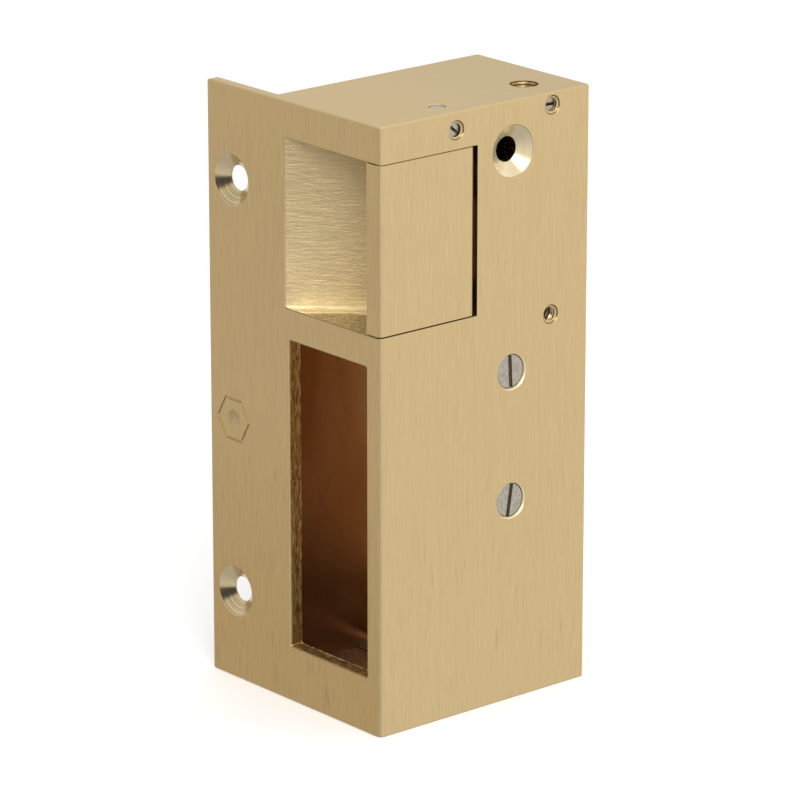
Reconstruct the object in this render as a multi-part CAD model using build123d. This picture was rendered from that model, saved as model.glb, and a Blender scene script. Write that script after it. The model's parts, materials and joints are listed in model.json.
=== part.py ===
from build123d import *
import os

# Surface-mounted electric door strike. Millimetres, +Z up, origin under the middle of the
# outline. Inside this file a place is given as three distances:
#   inset  in from the side face, which looks into the room (+X)
#   depth  back from the front face, which looks at the door's lock (-Y)
#   height up from the base

# --- block and flange ---------------------------------------------------------------------
HEIGHT = 108.0
BODY_WIDTH = 29.0
BODY_DEPTH = 47.0
FLANGE_REACH = 17.0
FLANGE_THICKNESS = 2.0
CORNER_RADIUS = 1.0
EDGE_BREAK = 0.3
END_CHAMFER = 0.2
FLANGE_TIP_RADIUS = 0.9

SIDE_X = (BODY_WIDTH + FLANGE_REACH) / 2
FRONT_Y = -BODY_DEPTH / 2

# --- keeper and latch opening -------------------------------------------------------------
OPENING_LOW = 71.5
OPENING_HIGH = 101.5
PIVOT_INSET = 5.1
PIVOT_DEPTH = 16.9
HUB_RADIUS = 6.2
HUB_RELIEF_RADIUS = 6.95
LIP_THICKNESS = 3.7
RAMP_MOUTH_INSET = 25.2
RAMP_END_INSET = 11.35
RAMP_FLOOR_RADIUS = 0.5
RIM_BREAK = 0.15
RIM_RADIUS = 0.4
SLIVER = 0.001
KEEPER_END_GAP = 0.15
KEEPER_EDGE_BREAK = 0.12
KEEPER_INNER_RADIUS = 0.4
PIN_RADIUS = 1.5
PIN_SEAT = 4.6
PIN_CHAMFER = 0.25
PIN_TOP_DROP = 0.15
PIN_HOLE_CHAMFER = 0.3
RUNNING_CLEARANCE = 0.05
TAIL_REACH = 9.8
TAIL_INSETS = (3.8, 7.7)
TAIL_HEIGHTS = (77.0, 91.0)
TAIL_SWEEP = (78.0, 176.0)
TAIL_SWEEP_RADIUS = 10.6
TAIL_SWEEP_HEIGHTS = (76.6, 91.4)
KEEPER_SPRING_POCKET = (93.4, 4.0)
KEEPER_SPRING_WIRE = 0.35
KEEPER_SPRING_RADIUS = 3.1
KEEPER_SPRING_TURNS = 5
SPRING_BEND = 0.8
SPRING_LEG_CLEARANCE = 0.25

# --- hollows in the block -----------------------------------------------------------------
FRONT_WALL = 2.6
SIDE_WALL = 3.5
SOLENOID_WALL = 5.0
FLOOR = 5.0
CHAMBER_TOP = 65.9
POCKET_MOUTH_INSETS = (3.5, 24.2)
POCKET_MOUTH_LOW = 10.1
POCKET_BACK = 20.5
CHAMBER_DEPTHS = (22.3, 44.0)
MILLED_RADIUS = 3.0
CHAMBER_CORNER_RADIUS = 2.0

# --- back cover ---------------------------------------------------------------------------
COVER_THICKNESS = 2.0
COVER_DEPTHS = (2.7, 45.6)
COVER_HEIGHTS = (0.8, 107.2)
COVER_CLEARANCE = 0.1
COVER_SCREW_PLACES = ((8.0, 3.2), (40.0, 3.2), (8.0, 68.7), (41.0, 68.7), (12.0, 104.4), (41.0, 104.4))
COVER_SCREW_RADIUS = 1.0
COVER_SCREW_HEAD = 1.9
COVER_SCREW_LENGTH = 6.0
CABLE_PLACE = (36.0, 14.0)
CABLE_HOLE_RADIUS = 4.0
CABLE_BORE_RADIUS = 2.5

# --- fixing holes -------------------------------------------------------------------------
FIXING_RADIUS = 2.25
COUNTERSINK_RADIUS = 4.65
FLANGE_HOLE_INSET = 39.5
FLANGE_HOLE_HEIGHTS = (16.2, 91.2)
FLANGE_COUNTERSINK_DEPTH = 1.8
BODY_HOLE_PLACE = (29.6, 99.1)
BODY_COUNTERSINK_DEPTH = 1.85

# --- stamped mark -------------------------------------------------------------------------
MARK_HEIGHT = 48.0
MARK_SIZE = 4.5
MARK_LINE = 0.5
MARK_SINK = 0.15
MARK_DIMPLE_BALL = 5.0

# --- small screws -------------------------------------------------------------------------
M3_RADIUS = 1.5
M3_PITCH = 0.5
THREAD_DEPTH = 0.25
THREAD_MOUTH = 0.45
SET_SCREWS = (
    # depth, height, outer end's inset, inner end's inset, slot angle
    (16.85, 104.8, 0.75, 3.6, -40.0),
    (38.5, 105.7, 0.85, 4.7, 0.0),
    (38.5, 68.6, 1.5, 5.7, 62.0),
)
SET_SCREW_SLOT = (0.55, 1.0)
HEAD_SCREWS = ((29.65, 59.95, 3.0), (29.65, 36.65, -9.0))
HEAD_RECESS_RADIUS = 3.1
HEAD_RADIUS = 3.0
HEAD_EDGE_RADIUS = 0.2
HEAD_RECESS_DEPTH = 2.4
HEAD_RECESS_CHAMFER = 0.25
HEAD_HEIGHT = 2.0
HEAD_SLOT = (0.8, 0.9)
PLUG_RADIUS = 2.5
PLUG_HEIGHTS = (103.5, 107.25)
PLUG_SLOT = (0.8, 1.0)

# --- locking lever ------------------------------------------------------------------------
LEVER_INSET = 7.3
LEVER_DEPTH = 38.5
LEVER_HUB_RADIUS = 3.5
LEVER_ARM_INSETS = (8.0, 12.7)
LEVER_ARM_TIP = 23.4
LEVER_HEIGHTS = (72.4, 94.0)
LEVER_BOSS_RADIUS = 2.7
LEVER_BOSS_TOP = 98.9
LEVER_PIN_HEIGHTS = (66.5, 103.0)
LEVER_SPRING_WIRE = 0.3
LEVER_SPRING_RADIUS = 3.2
LEVER_SPRING_TURNS = 4.5
LEVER_SPRING_BEARING = 5.0
LEVER_SPRING_REACH = 7.0

# --- solenoid -----------------------------------------------------------------------------
COIL_INSET = 14.2
COIL_DEPTH = 29.65
YOKE_HEIGHTS = (31.3, 65.3)
YOKE_THICKNESS = 2.0
YOKE_WIDTH = 14.0
BOBBIN_FLANGE_RADIUS = 7.0
BOBBIN_FLANGE = 1.2
BOBBIN_BORE_RADIUS = 3.5
BOBBIN_TUBE_RADIUS = 4.2
WINDING_RADIUS = 6.3
TAPE_RADIUS = 6.5
POLE_LOW = 50.0
POLE_SPIGOT_RADIUS = 3.2
POLE_COUNTERBORE = (61.3, 2.5)
PLUNGER_RADIUS = 3.4
PLUNGER_HEIGHTS = (21.2, 47.3)
ROD_RADIUS = 1.2
ROD_HEIGHTS = (40.0, 71.9)
CLIP_THICKNESS = 0.6
ROD_CLIP_LOW = 61.35
ROD_CLIP_MOUTH = 1.4
ROD_GROOVE = 0.3
PLUNGER_CLIP_LOW = 22.6
PLUNGER_CLIP_MOUTH = 4.4
PLUNGER_CLIP_OVERHANG = 1.9
PLUNGER_GROOVE = 0.6
PLUNGER_SPRING_RADIUS = 4.4
PLUNGER_SPRING_WIRE = 0.3
PLUNGER_SPRING_TURNS = 5

# --- terminal block -----------------------------------------------------------------------
TERMINAL_INSETS = (5.0, 15.0)
TERMINAL_DEPTHS = (25.0, 41.0)
TERMINAL_HEIGHTS = (7.0, 17.0)
TERMINAL_POLES = (29.5, 36.5)
TERMINAL_TUBE_INSET = 9.6
TERMINAL_TUBE = (1.9, 1.2)
TERMINAL_SCREW_RADIUS = 1.25
TERMINAL_HEAD = (2.2, 1.6)
TERMINAL_SEAT = TERMINAL_INSETS[1] - 3.0
LEAD_RADIUS = 0.5


# --- places and plain shapes --------------------------------------------------------------
def place(inset, depth, height):
    return Pos(SIDE_X - inset, FRONT_Y + depth, height)


def block(insets, depths, heights):
    """A box between two insets, two depths and two heights."""
    size = [abs(b - a) for a, b in (insets, depths, heights)]
    middle = [(a + b) / 2 for a, b in (insets, depths, heights)]
    return place(*middle) * Box(*size)


def upright(inset, depth, radius, low, high):
    """A cylinder along Z."""
    return place(inset, depth, (low + high) / 2) * Cylinder(radius, high - low)


def crosswise(depth, height, radius, insets):
    """A cylinder along X, from one inset to another."""
    near, far = insets
    return place((near + far) / 2, depth, height) * Rot(0, 90, 0) * Cylinder(radius, abs(far - near))


def tube(inset, depth, outer, inner, low, high):
    """A round sleeve along Z."""
    return upright(inset, depth, outer, low, high) - upright(inset, depth, inner, low - 1, high + 1)


def cone_in_side(depth, height, wide, narrow, insets):
    """A cone along X whose wide end is at the first inset."""
    near, far = insets
    cone = Cone(narrow, wide, far - near)
    return place((near + far) / 2, depth, height) * Rot(0, 90, 0) * cone


def plan(points):
    """A flat outline in plan from (inset, depth) corners."""
    corners = [(SIDE_X - inset, FRONT_Y + depth) for inset, depth in points]
    return make_face(Polyline(*corners, close=True))


def prism(outline, low, high):
    return Pos(0, 0, low) * extrude(outline, high - low, dir=(0, 0, 1))


def milled(insets, depths, heights, radius=MILLED_RADIUS):
    """A pocket milled along X, with the cutter's radius in its four corners."""
    solid = block(insets, depths, heights)
    return fillet(solid.edges().filter_by(Axis.X), radius)


def threaded_mouth(end_depth):
    """Cutter for the open thread above a set screw, along +Z with its mouth at Z = 0."""
    minor = M3_RADIUS - THREAD_DEPTH
    points = [(0, 0.2), (M3_RADIUS + THREAD_MOUTH, 0.2), (M3_RADIUS - 0.05, -0.3)]
    turns = round((end_depth - 0.3) / M3_PITCH)
    pitch = (end_depth - 0.3) / turns
    for turn in range(turns):
        top = -0.3 - turn * pitch
        points.append((minor, top - 0.15 * pitch))
        points.append((M3_RADIUS + 0.05, top - 0.6 * pitch))
        points.append((minor, top - pitch))
    points.append((0, -end_depth))
    outline = make_face(Polyline(*[(r, 0, z) for r, z in points], close=True))
    return revolve(outline, Axis.Z)


def side_frame(depth, height, turn=0):
    """A place on the side face whose local +Z points out of the face."""
    return place(0, depth, height) * Rot(0, 90, 0) * Rot(0, 0, turn)


def slot_cutter(size, width, deep):
    """A screwdriver slot, cut from Z = 0 downwards."""
    return Pos(0, 0, -deep / 2 + 0.5) * Box(size, width, deep + 1)


def helix(radius, wire, low, high, turns, lefthand=False):
    """The middle line of a spring about the local Z axis, its wire between low and high."""
    rise = high - low - 2 * wire
    return Pos(0, 0, low + wire) * Helix(rise / turns, rise, radius, lefthand=lefthand)


def hooked_leg(start, heading, towards, bend, length):
    """A bend from heading to about the direction towards, and a straight leg after it."""
    side = (towards - heading * towards.dot(heading)).normalized()
    corner = start + (heading + side) * bend
    arc = TangentArc(start, corner, tangent=heading)
    return [arc, Line(corner, corner + side * length)]


def bent_wire(wire, lines):
    """Round wire along lines that follow each other smoothly."""
    path = Wire([edge for line in lines for edge in line.edges()])
    section = Plane(origin=path @ 0, z_dir=path % 0) * Circle(wire)
    return sweep(section, path=path)


def retaining_clip(outer, inner, gap):
    """A C-shaped clip lying in the XY plane, its mouth towards -X."""
    ring = Cylinder(outer, CLIP_THICKNESS) - Cylinder(inner, CLIP_THICKNESS + 1)
    return ring - Pos(-outer / 2, 0, 0) * Box(outer, gap, CLIP_THICKNESS + 1)


# --- block --------------------------------------------------------------------------------
def outer_block():
    """The extruded L section with its edges broken and the flange's outer corners rounded."""
    whole = BODY_WIDTH + FLANGE_REACH
    front = (0, 0)
    root = (BODY_WIDTH, FLANGE_THICKNESS)
    others = [(whole, 0), (whole, FLANGE_THICKNESS), (BODY_WIDTH, BODY_DEPTH), (0, BODY_DEPTH)]
    section = plan([front, *others[:2], root, *others[2:]])
    section = fillet(corners_at(section, [front]), CORNER_RADIUS)
    section = fillet(corners_at(section, others), EDGE_BREAK)
    solid = prism(section, 0, HEIGHT)
    ends = solid.faces().filter_by(Axis.Z)
    solid = chamfer(ends.edges(), END_CHAMFER)
    envelope = block((-1, whole), (-1, BODY_DEPTH + 1), (0, HEIGHT))
    tips = envelope.edges().filter_by(Axis.Y).sort_by(Axis.X)[:2]
    return solid & fillet(tips, FLANGE_TIP_RADIUS)


def corners_at(section, wanted):
    """The section's corners that lie at the wanted (inset, depth) places."""
    places = [Vector(SIDE_X - inset, FRONT_Y + depth, 0) for inset, depth in wanted]
    return [
        corner
        for corner in section.vertices()
        if any((Vector(*corner) - there).length < SLIVER for there in places)
    ]


def latch_notch():
    """The room for the keeper and the latch bolt, up to the hub's round relief."""
    triangle = plan(
        [
            (-1, -1),
            (RAMP_MOUTH_INSET + 1, -1),
            (RAMP_END_INSET, RAMP_MOUTH_INSET - RAMP_END_INSET),
            (PIVOT_INSET, PIVOT_DEPTH),
            (-1, PIVOT_DEPTH),
        ]
    )
    room = prism(triangle, OPENING_LOW, OPENING_HIGH)
    ramp = room.faces().sort_by(Axis.X)[0]
    room = fillet(ramp.edges().sort_by(Axis.Z)[0], RAMP_FLOOR_RADIUS)
    return room + upright(PIVOT_INSET, PIVOT_DEPTH, HUB_RELIEF_RADIUS, OPENING_LOW, OPENING_HIGH)


def broken_rim(insets, heights):
    """Cutter for the small 45 degree break round an opening in the front face."""
    near, far = insets
    low, high = heights
    grown = RIM_BREAK
    cutter = block((near - grown, far + grown), (-1, grown), (low - grown, high + grown))
    cutter = fillet(cutter.edges().filter_by(Axis.Y), RIM_RADIUS + grown)
    return chamfer(cutter.faces().sort_by(Axis.Y)[-1].edges(), grown - SLIVER)


def tail_sweep():
    """The sector that the keeper's tail swings through, open to the lever's chamber."""
    first, last = TAIL_SWEEP
    arc = CenterArc((0, 0, 0), TAIL_SWEEP_RADIUS, first, last - first)
    wedge = make_face([Line((0, 0), arc @ 0), arc, Line(arc @ 1, (0, 0))])
    return prism(Pos(SIDE_X - PIVOT_INSET, FRONT_Y + PIVOT_DEPTH) * wedge, *TAIL_SWEEP_HEIGHTS)


def inner_hollows():
    """Deadbolt pocket, solenoid chamber and lever chamber, milled from the cover's side."""
    back = BODY_WIDTH - COVER_THICKNESS + 0.5
    pocket = milled((POCKET_MOUTH_INSETS[0], back), (FRONT_WALL, POCKET_BACK), (FLOOR, CHAMBER_TOP))
    mouth = block(POCKET_MOUTH_INSETS, (-1, FRONT_WALL + 1), (POCKET_MOUTH_LOW, CHAMBER_TOP))
    mouth = fillet(mouth.edges().filter_by(Axis.Y), RIM_RADIUS)
    solenoid_room = milled(
        (SOLENOID_WALL, back), CHAMBER_DEPTHS, (FLOOR, CHAMBER_TOP), CHAMBER_CORNER_RADIUS
    )
    lever_room = milled((SIDE_WALL, back), CHAMBER_DEPTHS, (OPENING_LOW, OPENING_HIGH))
    return [pocket, mouth, solenoid_room, lever_room, tail_sweep()]


def cover_recess():
    near = BODY_WIDTH - COVER_THICKNESS
    return milled((near, BODY_WIDTH + 1), COVER_DEPTHS, COVER_HEIGHTS)


def pin_holes():
    keeper_hole = upright(PIVOT_INSET, PIVOT_DEPTH, PIN_RADIUS, OPENING_LOW - PIN_SEAT, HEIGHT + 1)
    chamfer_room = Cone(PIN_RADIUS, PIN_RADIUS + PIN_HOLE_CHAMFER, PIN_HOLE_CHAMFER)
    chamfer_room = place(PIVOT_INSET, PIVOT_DEPTH, HEIGHT) * chamfer_room
    low, high = LEVER_PIN_HEIGHTS
    lever_hole = upright(LEVER_INSET, LEVER_DEPTH, PIN_RADIUS, low, high + 1)
    plug_hole = upright(LEVER_INSET, LEVER_DEPTH, PLUG_RADIUS, high, HEIGHT + 1)
    rod_hole = upright(
        COIL_INSET, COIL_DEPTH, ROD_RADIUS + RUNNING_CLEARANCE, CHAMBER_TOP - 1, OPENING_LOW + 1
    )
    leg = (PIVOT_INSET + KEEPER_SPRING_RADIUS, PIVOT_DEPTH - SPRING_BEND)
    spring_hole = upright(*leg, KEEPER_SPRING_WIRE + SPRING_LEG_CLEARANCE, OPENING_HIGH - 1, OPENING_HIGH + 2)
    return [keeper_hole, chamfer_room, lever_hole, plug_hole, rod_hole, spring_hole]


def side_holes():
    cutters = []
    for depth, height, outer, inner, _ in SET_SCREWS:
        cutters.append(side_frame(depth, height) * threaded_mouth(outer))
        cutters.append(crosswise(depth, height, M3_RADIUS, (outer - 0.01, inner + 0.4)))
    for depth, height, _ in HEAD_SCREWS:
        rim = HEAD_RECESS_RADIUS + HEAD_RECESS_CHAMFER
        shank_room = (HEAD_RECESS_DEPTH - 0.1, SOLENOID_WALL + 1)
        cutters.append(crosswise(depth, height, HEAD_RECESS_RADIUS, (-1, HEAD_RECESS_DEPTH)))
        cutters.append(cone_in_side(depth, height, rim, HEAD_RECESS_RADIUS, (0, HEAD_RECESS_CHAMFER)))
        cutters.append(crosswise(depth, height, M3_RADIUS + 0.1, shank_room))
    depth, height = BODY_HOLE_PLACE
    cutters.append(crosswise(depth, height, FIXING_RADIUS, (-1, SIDE_WALL + 1)))
    cutters.append(
        cone_in_side(depth, height, COUNTERSINK_RADIUS, FIXING_RADIUS, (0, BODY_COUNTERSINK_DEPTH))
    )
    middle = sum(TERMINAL_POLES) / 2
    cutters.append(crosswise(middle, sum(TERMINAL_HEIGHTS) / 2, TERMINAL_SCREW_RADIUS, (2.0, 6.0)))
    for depth, height in COVER_SCREW_PLACES:
        inner = BODY_WIDTH - COVER_SCREW_LENGTH - 0.5
        cutters.append(crosswise(depth, height, COVER_SCREW_RADIUS, (inner, BODY_WIDTH)))
    return cutters


def flange_holes():
    cutters = []
    for height in FLANGE_HOLE_HEIGHTS:
        there = place(FLANGE_HOLE_INSET, 0, height) * Rot(-90, 0, 0)
        hole = Cylinder(FIXING_RADIUS, 8)
        sink = Cone(COUNTERSINK_RADIUS, FIXING_RADIUS, FLANGE_COUNTERSINK_DEPTH)
        cutters.append(there * hole)
        cutters.append(there * Pos(0, 0, FLANGE_COUNTERSINK_DEPTH / 2) * sink)
    return cutters


def stamped_mark():
    """A plain hexagon round a dimple, stamped in the flange."""
    outer = RegularPolygon(MARK_SIZE, 6)
    ring = outer - offset(outer, -MARK_LINE)
    there = place(FLANGE_HOLE_INSET, 0, MARK_HEIGHT) * Rot(90, 0, 0)
    line = extrude(there * Pos(0, 0, -MARK_SINK) * ring, 1.0)
    dimple = there * Pos(0, 0, MARK_DIMPLE_BALL - 2 * MARK_SINK) * Sphere(MARK_DIMPLE_BALL)
    return line + dimple


def make_strike_body():
    solid = outer_block() - latch_notch()
    rims = [
        broken_rim(POCKET_MOUTH_INSETS, (POCKET_MOUTH_LOW, CHAMBER_TOP)),
        broken_rim((-1, RAMP_MOUTH_INSET), (OPENING_LOW, OPENING_HIGH)),
    ]
    for cutter in inner_hollows() + rims + [cover_recess()] + pin_holes() + side_holes() + flange_holes():
        solid -= cutter
    return solid - stamped_mark()


# --- cover --------------------------------------------------------------------------------
def make_back_cover():
    near = BODY_WIDTH - COVER_THICKNESS
    gap = COVER_CLEARANCE
    depths = (COVER_DEPTHS[0] + gap, COVER_DEPTHS[1] - gap)
    heights = (COVER_HEIGHTS[0] + gap, COVER_HEIGHTS[1] - gap)
    plate = milled((near, BODY_WIDTH), depths, heights)
    plate -= crosswise(*BODY_HOLE_PLACE, FIXING_RADIUS, (near - 1, BODY_WIDTH + 1))
    plate -= crosswise(*CABLE_PLACE, CABLE_HOLE_RADIUS, (near - 1, BODY_WIDTH + 1))
    for depth, height in COVER_SCREW_PLACES:
        plate -= cover_screw(depth, height)
        plate -= crosswise(depth, height, COVER_SCREW_HEAD, (BODY_WIDTH - 0.2, BODY_WIDTH + 1))
    rim = plate.faces().sort_by(Axis.X)[0].outer_wire().edges()
    return chamfer(rim, 0.2)


def cover_screw(depth, height):
    """A countersunk screw without its slot, its head just under the cover's outer face."""
    top = BODY_WIDTH - 0.1
    cone_length = COVER_SCREW_HEAD - COVER_SCREW_RADIUS
    head = place(top - 0.1, depth, height) * Rot(0, 90, 0) * Cylinder(COVER_SCREW_HEAD, 0.2)
    cone = place(top - 0.2 - cone_length / 2, depth, height) * Rot(0, 90, 0)
    cone *= Cone(COVER_SCREW_HEAD, COVER_SCREW_RADIUS, cone_length)
    shank = crosswise(depth, height, COVER_SCREW_RADIUS, (BODY_WIDTH - COVER_SCREW_LENGTH, top - 1))
    return head + cone + shank


def make_cover_screws():
    screws = []
    for index, (depth, height) in enumerate(COVER_SCREW_PLACES):
        turn = 25.0 + 47.0 * index
        slot = place(BODY_WIDTH, depth, height) * Rot(0, -90, 0) * Rot(0, 0, turn)
        screws.append(cover_screw(depth, height) - slot * slot_cutter(6, 0.5, 0.75))
    return screws


def make_cable_grommet():
    near = BODY_WIDTH - COVER_THICKNESS
    body = crosswise(*CABLE_PLACE, CABLE_HOLE_RADIUS, (near - 1.2, BODY_WIDTH))
    collar = crosswise(*CABLE_PLACE, CABLE_HOLE_RADIUS + 1.0, (near - 1.2, near))
    collar = fillet(collar.edges().sort_by(Axis.X)[-1], 0.5)
    return body + collar - crosswise(*CABLE_PLACE, CABLE_BORE_RADIUS, (near - 3, BODY_WIDTH + 1))


# --- keeper -------------------------------------------------------------------------------
def make_keeper():
    low = OPENING_LOW + KEEPER_END_GAP
    high = OPENING_HIGH - KEEPER_END_GAP
    plate = block((0, LIP_THICKNESS), (0, PIVOT_DEPTH), (low, high))
    hub = upright(PIVOT_INSET, PIVOT_DEPTH, HUB_RADIUS, low, high)
    hub &= block((0, 20), (0, 40), (low, high))
    solid = plate + hub
    upright_edges = solid.edges().filter_by(Axis.Z)
    lip_edges = upright_edges.sort_by(Axis.Y)[:2].sort_by(Axis.X)
    solid = fillet(lip_edges[-1], CORNER_RADIUS)
    inner_lip = solid.edges().filter_by(Axis.Z).sort_by(Axis.Y)[:2].sort_by(Axis.X)[0]
    solid = fillet(inner_lip, KEEPER_INNER_RADIUS)
    ends = solid.faces().filter_by(Axis.Z).edges()
    solid = chamfer(ends, KEEPER_EDGE_BREAK)
    tail = block(TAIL_INSETS, (PIVOT_DEPTH, PIVOT_DEPTH + TAIL_REACH), TAIL_HEIGHTS)
    solid += fillet(tail.edges().filter_by(Axis.Z).sort_by(Axis.Y)[-2:], 0.5)
    pocket_low, pocket_radius = KEEPER_SPRING_POCKET
    bore = PIN_RADIUS + RUNNING_CLEARANCE
    solid -= upright(PIVOT_INSET, PIVOT_DEPTH, bore, low - 1, high + 1)
    solid -= upright(PIVOT_INSET, PIVOT_DEPTH, pocket_radius, pocket_low, high + 1)
    leg = (PIVOT_INSET + KEEPER_SPRING_RADIUS, PIVOT_DEPTH + SPRING_BEND)
    return solid - upright(*leg, KEEPER_SPRING_WIRE + SPRING_LEG_CLEARANCE, pocket_low - 2.2, pocket_low + 1)


def make_keeper_pin():
    low = OPENING_LOW - PIN_SEAT
    high = HEIGHT - PIN_TOP_DROP
    return chamfer(upright(PIVOT_INSET, PIVOT_DEPTH, PIN_RADIUS, low, high).edges(), PIN_CHAMFER)


def make_keeper_spring():
    """A torsion spring about the pin, one hooked leg down in the hub, the other up in the cap."""
    wire = KEEPER_SPRING_WIRE
    low = KEEPER_SPRING_POCKET[0] + SPRING_BEND + 0.2
    high = OPENING_HIGH - SPRING_BEND - 0.1
    turns = helix(KEEPER_SPRING_RADIUS, wire, low, high, KEEPER_SPRING_TURNS)
    down = hooked_leg(turns @ 0, turns % 0 * -1, Vector(0, 0, -1), SPRING_BEND, 1.6)
    up = hooked_leg(turns @ 1, turns % 1, Vector(0, 0, 1), SPRING_BEND, 1.2)
    spring = bent_wire(wire, [*reversed(down), turns, *up])
    return place(PIVOT_INSET, PIVOT_DEPTH, 0) * Rot(0, 0, 180) * spring


# --- locking lever ------------------------------------------------------------------------
def make_locking_lever():
    low, high = LEVER_HEIGHTS
    hub = upright(LEVER_INSET, LEVER_DEPTH, LEVER_HUB_RADIUS, low, high)
    arm = block(LEVER_ARM_INSETS, (LEVER_ARM_TIP, LEVER_DEPTH), LEVER_HEIGHTS)
    tip_edges = arm.edges().filter_by(Axis.Z).sort_by(Axis.Y)[:2]
    lever = hub + fillet(tip_edges, 0.8)
    lever += upright(LEVER_INSET, LEVER_DEPTH, LEVER_BOSS_RADIUS, high, LEVER_BOSS_TOP)
    hook = (LEVER_INSET + LEVER_SPRING_RADIUS, LEVER_DEPTH - LEVER_SPRING_REACH)
    lever -= upright(*hook, LEVER_SPRING_WIRE + SPRING_LEG_CLEARANCE, high - 2.0, high + 1)
    bore = PIN_RADIUS + RUNNING_CLEARANCE
    return lever - upright(LEVER_INSET, LEVER_DEPTH, bore, low - 1, LEVER_BOSS_TOP + 1)


def make_lever_pin():
    low, high = LEVER_PIN_HEIGHTS
    return chamfer(upright(LEVER_INSET, LEVER_DEPTH, PIN_RADIUS, low, high).edges(), 0.3)


def make_lever_spring():
    """A torsion spring on the lever's boss: one leg hooks into the arm, one bears on the side wall."""
    wire = LEVER_SPRING_WIRE
    low = LEVER_HEIGHTS[1] + 0.5
    high = LEVER_BOSS_TOP - 0.2
    turns = helix(LEVER_SPRING_RADIUS, wire, low, high, LEVER_SPRING_TURNS, lefthand=True)
    heading = (turns % 0 * -1).normalized()
    reach = turns @ 0 + heading * (LEVER_SPRING_REACH - SPRING_BEND)
    hook = hooked_leg(reach, heading, Vector(0, 0, -1), SPRING_BEND, 1.0)
    bearing = Line(turns @ 1, turns @ 1 + turns % 1 * LEVER_SPRING_BEARING)
    spring = bent_wire(wire, [*reversed(hook), Line(reach, turns @ 0), turns, bearing])
    return place(LEVER_INSET, LEVER_DEPTH, 0) * Rot(0, 0, 180) * spring


# --- solenoid -----------------------------------------------------------------------------
def make_solenoid_frame():
    low, high = YOKE_HEIGHTS
    near = SOLENOID_WALL
    far = COIL_INSET + BOBBIN_FLANGE_RADIUS + 0.2
    depths = (COIL_DEPTH - YOKE_WIDTH / 2, COIL_DEPTH + YOKE_WIDTH / 2)
    yoke = milled((near, far), depths, YOKE_HEIGHTS, CHAMBER_CORNER_RADIUS / 2)
    window = (low + YOKE_THICKNESS, high - YOKE_THICKNESS)
    yoke -= block((near + YOKE_THICKNESS, far + 1), (depths[0] - 1, depths[1] + 1), window)
    yoke -= upright(COIL_INSET, COIL_DEPTH, BOBBIN_BORE_RADIUS, low - 1, low + YOKE_THICKNESS + 1)
    yoke -= upright(COIL_INSET, COIL_DEPTH, POLE_SPIGOT_RADIUS, high - YOKE_THICKNESS - 1, high + 1)
    for depth, height, _ in HEAD_SCREWS:
        yoke -= crosswise(depth, height, M3_RADIUS, (near - 1, near + YOKE_THICKNESS + 1))
    return yoke


def make_solenoid_bobbin():
    low = YOKE_HEIGHTS[0] + YOKE_THICKNESS
    high = YOKE_HEIGHTS[1] - YOKE_THICKNESS
    bobbin = upright(COIL_INSET, COIL_DEPTH, BOBBIN_TUBE_RADIUS, low, high)
    for bottom in (low, high - BOBBIN_FLANGE):
        bobbin += upright(COIL_INSET, COIL_DEPTH, BOBBIN_FLANGE_RADIUS, bottom, bottom + BOBBIN_FLANGE)
    return bobbin - upright(COIL_INSET, COIL_DEPTH, BOBBIN_BORE_RADIUS, low - 1, high + 1)


def winding_heights():
    low = YOKE_HEIGHTS[0] + YOKE_THICKNESS + BOBBIN_FLANGE
    high = YOKE_HEIGHTS[1] - YOKE_THICKNESS - BOBBIN_FLANGE
    return low, high


def make_solenoid_winding():
    return tube(COIL_INSET, COIL_DEPTH, WINDING_RADIUS, BOBBIN_TUBE_RADIUS, *winding_heights())


def make_winding_tape():
    return tube(COIL_INSET, COIL_DEPTH, TAPE_RADIUS, WINDING_RADIUS, *winding_heights())


def make_fixed_pole():
    top = YOKE_HEIGHTS[1]
    shoulder = top - YOKE_THICKNESS
    pole = upright(COIL_INSET, COIL_DEPTH, BOBBIN_BORE_RADIUS, POLE_LOW, shoulder)
    pole += upright(COIL_INSET, COIL_DEPTH, POLE_SPIGOT_RADIUS, shoulder, top)
    counterbore_low, counterbore_radius = POLE_COUNTERBORE
    pole -= upright(COIL_INSET, COIL_DEPTH, counterbore_radius, counterbore_low, top + 1)
    return pole - upright(COIL_INSET, COIL_DEPTH, ROD_RADIUS + RUNNING_CLEARANCE, POLE_LOW - 1, top + 1)


def make_plunger():
    low, high = PLUNGER_HEIGHTS
    plunger = chamfer(upright(COIL_INSET, COIL_DEPTH, PLUNGER_RADIUS, low, high).edges(), 0.3)
    groove = (PLUNGER_CLIP_LOW, PLUNGER_CLIP_LOW + CLIP_THICKNESS)
    plunger -= tube(COIL_INSET, COIL_DEPTH, PLUNGER_RADIUS + 1, PLUNGER_RADIUS - PLUNGER_GROOVE, *groove)
    return plunger - upright(COIL_INSET, COIL_DEPTH, ROD_RADIUS, ROD_HEIGHTS[0], high + 1)


def make_push_rod():
    rod = chamfer(upright(COIL_INSET, COIL_DEPTH, ROD_RADIUS, *ROD_HEIGHTS).edges(), 0.2)
    groove = (ROD_CLIP_LOW, ROD_CLIP_LOW + CLIP_THICKNESS)
    ring = tube(COIL_INSET, COIL_DEPTH, ROD_RADIUS + 1, ROD_RADIUS - ROD_GROOVE, *groove)
    return rod - ring


def make_rod_clip():
    clip = retaining_clip(POLE_COUNTERBORE[1] - 0.25, ROD_RADIUS - ROD_GROOVE, ROD_CLIP_MOUTH)
    return place(COIL_INSET, COIL_DEPTH, ROD_CLIP_LOW + CLIP_THICKNESS / 2) * clip


def make_plunger_clip():
    outer = PLUNGER_RADIUS + PLUNGER_CLIP_OVERHANG
    clip = retaining_clip(outer, PLUNGER_RADIUS - PLUNGER_GROOVE, PLUNGER_CLIP_MOUTH)
    return place(COIL_INSET, COIL_DEPTH, PLUNGER_CLIP_LOW + CLIP_THICKNESS / 2) * clip


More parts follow.
